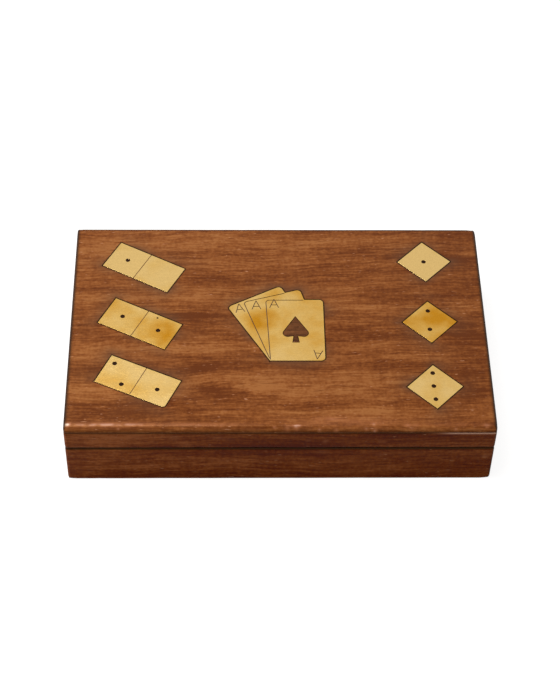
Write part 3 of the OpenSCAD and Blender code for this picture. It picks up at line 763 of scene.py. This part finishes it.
def lid_board():
    bm = board_mesh("lid_top_board")
    low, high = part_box("lid_top_board")
    bm.normal_update()
    top = [f for f in bm.faces if f.normal.z > 0.99 and f.calc_center_median().z > TOP_Z - TOUCH]
    bmesh.ops.inset_region(bm, faces=top, thickness=RIM, use_even_offset=True, use_boundary=True)
    for v in {v for f in top for v in f.verts}:
        v.co.z = high.z
    for axis in (0, 1):
        near_edge = [low[axis] + d for d in FALL_CUTS] + [high[axis] - d for d in FALL_CUTS]
        slice_across(bm, axis, steps(low[axis], high[axis], SLICE) + near_edge)
    slice_across(bm, 2, [low.z + JOINT_CUT])
    thirds = [x + s * SLICE / 3 for x in [low.x] + steps(low.x, high.x, SLICE) for s in (1, 2)]
    slice_across(bm, 0, thirds, lambda co: co.y < low.y + FINE_BAND)

    rims = [v.co.copy() for v in bm.verts if v.co.z > TOP_Z - TOUCH and any(
        abs(f.normal.z) < 0.5 for f in v.link_faces)
        and abs(v.co.x) < high.x - INLAY_MARGIN and abs(v.co.y) < high.y - INLAY_MARGIN]
    tree = kdtree.KDTree(len(rims))
    for i, co in enumerate(rims):
        tree.insert(co, i)
    tree.balance()
    stain = bm.verts.layers.float.new("stain")
    for v in bm.verts:
        if v.co.z > TOP_Z - TOUCH:
            gap = tree.find(v.co)[2]
            patch = 0.5 + 1.3 * patchy(Vector((v.co.x * 0.5, v.co.y, 0)), STAIN_PATCH, 4)
            v[stain] = max(0.0, min(STAIN_MOST, patch)) * math.exp(-gap / STAIN_REACH)

    for f in bm.faces:
        centre = f.calc_center_median()
        inside = abs(centre.x) < high.x - INLAY_MARGIN and abs(centre.y) < high.y - INLAY_MARGIN
        if inside and high.z - POCKET_FLOOR < centre.z < high.z - POCKET_RIM:
            f.material_index = 1
    paint_zones(bm, "tone", LID_TONE_ZONES, 2)
    wear_edges(bm, outer_faces("lid_top_board", "glue", "top"), TOP_ROUND, LID_CHIPS)
    paint_zones(bm, "rub_and_highlight", LID_RUBS_AND_HIGHLIGHTS, 2)
    # Painted shade lines the top where it meets the pocket of each inlay.
    painted_shade = bm.verts.layers.float["painted_shade"]
    for v in bm.verts:
        if v.co.z > TOP_Z - TOUCH and tree.find(v.co)[2] < TOUCH:
            v[painted_shade] = RIM_SHADE
    for v in bm.verts:
        share = (v.co.z - low.z) / (high.z - low.z)
        others = min(v.co.x - low.x, high.x - v.co.x, high.y - v.co.y)
        for edge, reach, fall in ((v.co.y - low.y, FALL_REACH, FALL), (others, SIDE_FALL_REACH, SIDE_FALL)):
            if edge < reach:
                v.co.z -= fall * share * (1 - max(0.0, edge) / reach) ** 2
    return piece("worn_lid_board", bm, [lid_wood, cement], "lid", "rosewood", "lid_top_board")


made = lid_board()
print("lid board faces:", len(made.data.polygons))

# %% [markdown]
# ## Walls and rails
# Eight boards with mitred corners stand under the lid board. The grain runs along each one. On the
# right a pale hairline of painted highlight runs along the glue line of the front rail.

# %% Walls and rails
SIDES = {"front": 0, "right": 1, "back": 0, "left": 1}
# Lighter (+) and darker (-) places on the two front boards, and rubbed ones, as x and z in mm. The
# broad lighter places at the left end and the broad darker ones from the middle to the right are
# painted light and shade, as from light coming from the left; the small ones are figure.
FRONT_TONE_AND_SHADE_ZONES = [
    ((-78, 12), 34, 16, 0, 0.14), ((-84, 32), 26, 6, 0, 0.09), ((-45, 27), 8, 2, 0, 0.10),
    ((-80, 29), 16, 1.2, 0, 0.12), ((-60, 26), 14, 1.0, 0, -0.15), ((20, 12), 40, 14, 0, -0.06),
    ((30, 30), 60, 8, 0, -0.14), ((85, 30), 22, 8, 0, -0.08), ((60, 5), 20, 2, 0, 0.08),
]
FRONT_RUBS = [
    ((-50, 32.3), 2.6, 1.2, 0, 0.55), ((-45, 27), 3, 1.2, 0, 0.2), ((-28, 32), 5, 0.8, -6, 0.35),
    ((-80, 32.6), 15, 0.9, 0, 0.18), ((13, 30), 0.9, 0.9, 0, 0.5), ((21, 29.5), 0.9, 0.9, 0, 0.45),
    ((48, 29.2), 1.0, 0.9, 0, 0.45), ((19.5, 21), 2.5, 0.8, 0, 0.35), ((48.5, 19.5), 2.5, 0.8, 0, 0.35),
    ((98, 18), 1.4, 1.2, 0, 0.5),
]
# A painted highlight along the glue line: where along the front it begins and is full, its width
# and its share of the pale rubbed colour.
GLUE_HIGHLIGHT_FROM, GLUE_HIGHLIGHT_FULL = 66 * MM, 80 * MM
GLUE_HIGHLIGHT_WIDTH = 0.8 * MM
GLUE_HIGHLIGHT = 0.72
# Height of the rows that the front boards are cut into.
FRONT_ROW = 1.1 * MM
# The four corners of the foot are knocked round, the right front one most.
FOOT_KNOCKS = [
    ((x, y, 0), 2.2, 0.7 if x > 0 > y else 0.35)
    for x in (-CORNER_X, CORNER_X) for y in (-CORNER_Y, CORNER_Y)
]


def side_board(node, body, below, above):
    side = node.split("_")[1]
    long_axis = SIDES[side]
    low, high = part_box(node)
    bm = board_mesh(node)
    slice_across(bm, long_axis, steps(low[long_axis], high[long_axis], SLICE))
    rows = [low.z + JOINT_CUT, low.z + EDGE_REACH, high.z - EDGE_REACH, high.z - JOINT_CUT]
    if side == "front":
        rows += steps(low.z + EDGE_REACH, high.z - EDGE_REACH, FRONT_ROW)
    slice_across(bm, 2, rows)
    wear_edges(bm, outer_faces(node, below, above), EDGE_REACH, FOOT_KNOCKS)
    if side == "front":
        paint_zones(bm, "tone", FRONT_TONE_AND_SHADE_ZONES, 1)
        paint_zones(bm, "rub_and_highlight", FRONT_RUBS, 1)
    # On the right of the front rail, a pale painted highlight along the glue line replaces the painted shade.
    if node == "lid_front_rail":
        rub_and_highlight, painted_shade = (bm.verts.layers.float[name] for name in ("rub_and_highlight", "painted_shade"))
        for v in bm.verts:
            on_edge = v.co.y < low.y + GLUE_HIGHLIGHT_WIDTH and v.co.z > high.z - GLUE_HIGHLIGHT_WIDTH
            if on_edge and v.co.x > GLUE_HIGHLIGHT_FROM:
                pale_and_lit = min(1.0, (v.co.x - GLUE_HIGHLIGHT_FROM) / (GLUE_HIGHLIGHT_FULL - GLUE_HIGHLIGHT_FROM))
                v[rub_and_highlight] = GLUE_HIGHLIGHT * pale_and_lit
                v[painted_shade] *= 1 - pale_and_lit
    wood = side_wood if long_axis else front_wood
    return piece("worn_" + node, bm, [wood], body, "rosewood", node)


for side in SIDES:
    lower = side_board(f"base_{side}_wall", "base", "foot", "seam")
    upper = side_board(f"lid_{side}_rail", "lid", "seam", "glue")
    print(side, "faces:", len(lower.data.polygons), len(upper.data.polygons))

# %% [markdown]
# ## Pieces that keep their CAD shape
# Filed brass has crisp but not razor-sharp edges, and so have hinges and thin dividers. A narrow
# bevel catches the light along them.


# %% Finishes on the CAD pieces
BEVEL_FROM = math.radians(40)


def finish_node(node, material, bevel):
    target = NODES[node]
    target.data.materials.clear()
    target.data.materials.append(material)
    weld = target.modifiers.new("weld", "WELD")
    weld.merge_threshold = SAME_POINT
    flat = target.modifiers.new("join_flat_faces", "DECIMATE")
    flat.decimate_type = "DISSOLVE"
    flat.angle_limit = FLAT_ANGLE
    edge = target.modifiers.new("fine_edge", "BEVEL")
    edge.width = bevel
    edge.segments = 2
    edge.limit_method = "ANGLE"
    edge.angle_limit = BEVEL_FROM
    edge.harden_normals = True


for i, (node, (warmth, wax, patches)) in enumerate(INLAYS.items()):
    brass = inlaid_brass("filed_brass_" + node, (0.03 * i, 0.05 * i, 0), warmth, wax, patches)
    finish_node(node, brass, bevel=0.03 * MM)
for node in ("domino_pip_fillings", "die_pip_fillings"):
    finish_node(node, cement, bevel=0.05 * MM)
SPADE_TONES = ("32170A", "502C16", "5E361C", "734627")
spade_wood = rosewood("french_polished_sheesham_spade", "x", (0.6, 0.9, 0.1), SPADE_TONES)
finish_node("spade_insert", spade_wood, bevel=0.05 * MM)
for node in NODES:
    if "hinge" in node:
        finish_node(node, hinge_brass, bevel=0.08 * MM)
for node in ("domino_divider", "card_divider", "dice_divider"):
    finish_node(node, side_wood, bevel=0.3 * MM)
finish_node("base_bottom_panel", plywood, bevel=0.2 * MM)
print("CAD pieces finished")

# %% [markdown]
# ## Velvet linings
# Each bay has a piece of velvet glued to its floor, and so has the underside of the lid. Glued
# velvet is not a flat board: it is a thin pad, thicker where the glue is thin, with rounded cut
# edges. Each piece is a grid with a soft edge and slow lumps, closed underneath.

# %% Linings
PILE_STEP = 2.0 * MM
CUT_EDGE = 0.15 * MM
SOFT_EDGE = 0.5 * MM
# Large and small lumps, 17 and 6 mm across.
LUMPS_PER_METRE, SMALL_LUMPS_PER_METRE = 60, 180
# Shares of the lining's thickness: at its cut edge, more inside it, and in its lumps.
EDGE_SHARE, INNER_SHARE, LUMP_SHARE = 0.45, 0.42, 0.08


def lining(node, body, face_down):
    low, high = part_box(node)
    across = [low.x + CUT_EDGE] + steps(low.x, high.x, PILE_STEP) + [high.x - CUT_EDGE]
    deep = [low.y + CUT_EDGE] + steps(low.y, high.y, PILE_STEP) + [high.y - CUT_EDGE]
    right, far = len(across) - 1, len(deep) - 1
    thick = high.z - low.z
    bm = bmesh.new()

    def grid(height):
        return [[bm.verts.new((x, y, height(x, y))) for y in deep] for x in across]

    def crown(x, y):
        edge = min(x - low.x, high.x - x, y - low.y, high.y - y)
        soft = 1 - math.exp(-edge / SOFT_EDGE)
        lumps = noise.noise(Vector((x, y, thick)) * LUMPS_PER_METRE)
        lumps += 0.5 * noise.noise(Vector((x, y, 1)) * SMALL_LUMPS_PER_METRE)
        raised = thick * (EDGE_SHARE + INNER_SHARE * soft + LUMP_SHARE * lumps * soft)
        return high.z - raised if face_down else low.z + raised

    top = grid(crown)
    bottom = grid(lambda x, y: high.z if face_down else low.z)
    for sheet, flip in ((top, face_down), (bottom, not face_down)):
        for i in range(right):
            for j in range(far):
                corners = [sheet[i][j], sheet[i + 1][j], sheet[i + 1][j + 1], sheet[i][j + 1]]
                bm.faces.new(corners[::-1] if flip else corners)
    ring = [(i, 0) for i in range(right + 1)] + [(right, j) for j in range(1, far + 1)]
    ring += [(i, far) for i in range(right - 1, -1, -1)] + [(0, j) for j in range(far - 1, 0, -1)]
    for (i, j), (k, m) in zip(ring, ring[1:] + ring[:1]):
        corners = [bottom[i][j], bottom[k][m], top[k][m], top[i][j]]
        bm.faces.new(corners[::-1] if face_down else corners)
    made = piece("velvet_" + node, bm, [velvet], body, "velvet", node)


for bay in ("left_domino_bay", "right_domino_bay", "card_bay", "dice_bay"):
    lining(bay + "_lining", "base", False)
lining("lid_lining", "lid", True)
print("linings made")

# %% [markdown]
# ## Last step
# The view layer is brought up to date.

# %% Bring the view layer up to date
bpy.context.view_layer.update()
